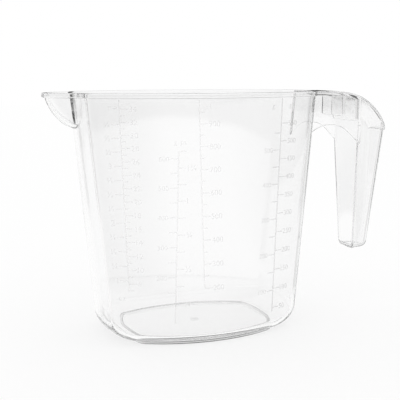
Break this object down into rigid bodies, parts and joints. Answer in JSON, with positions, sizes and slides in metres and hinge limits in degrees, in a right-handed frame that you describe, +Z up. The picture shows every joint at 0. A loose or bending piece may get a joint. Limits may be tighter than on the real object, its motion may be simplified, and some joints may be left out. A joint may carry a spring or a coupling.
{
  "type": "measuring jug",
  "caption": "Clear oblong measuring jug with bowed sides, a pouring spout at one end, an open hanging handle at the other and raised scales on one side.",
  "frame": {"origin": "centre of the foot ring's underside, on the surface that the jug stands on", "axes": "+Z up, +X from the middle of the jug towards the handle, -X towards the spout, -Y towards the side with the scales"},
  "size_m": [0.2074, 0.0798, 0.1386],
  "materials": {
    "clear_plastic": "clear injection-moulded styrene-acrylonitrile, polished both sides",
    "moulded_marks": "the same clear plastic, raised marks with a finely etched face"
  },
  "bodies": {
    "root": {"body_wall": "clear_plastic", "base_floor": "clear_plastic", "foot_ring": "clear_plastic", "gate_mark": "moulded_marks", "rim_bead": "clear_plastic", "pouring_spout": "clear_plastic", "handle_strap": "clear_plastic", "web_near": "clear_plastic", "web_far": "clear_plastic", "rib_inner": "clear_plastic", "rib_outer": "clear_plastic", "handle_grip": "clear_plastic", "grip_end": "clear_plastic", "scale_ounces_cups": "moulded_marks", "scale_pints_sugar": "moulded_marks", "scale_millilitres": "moulded_marks", "scale_flour_semolina": "moulded_marks"}
  },
  "joints": []
}
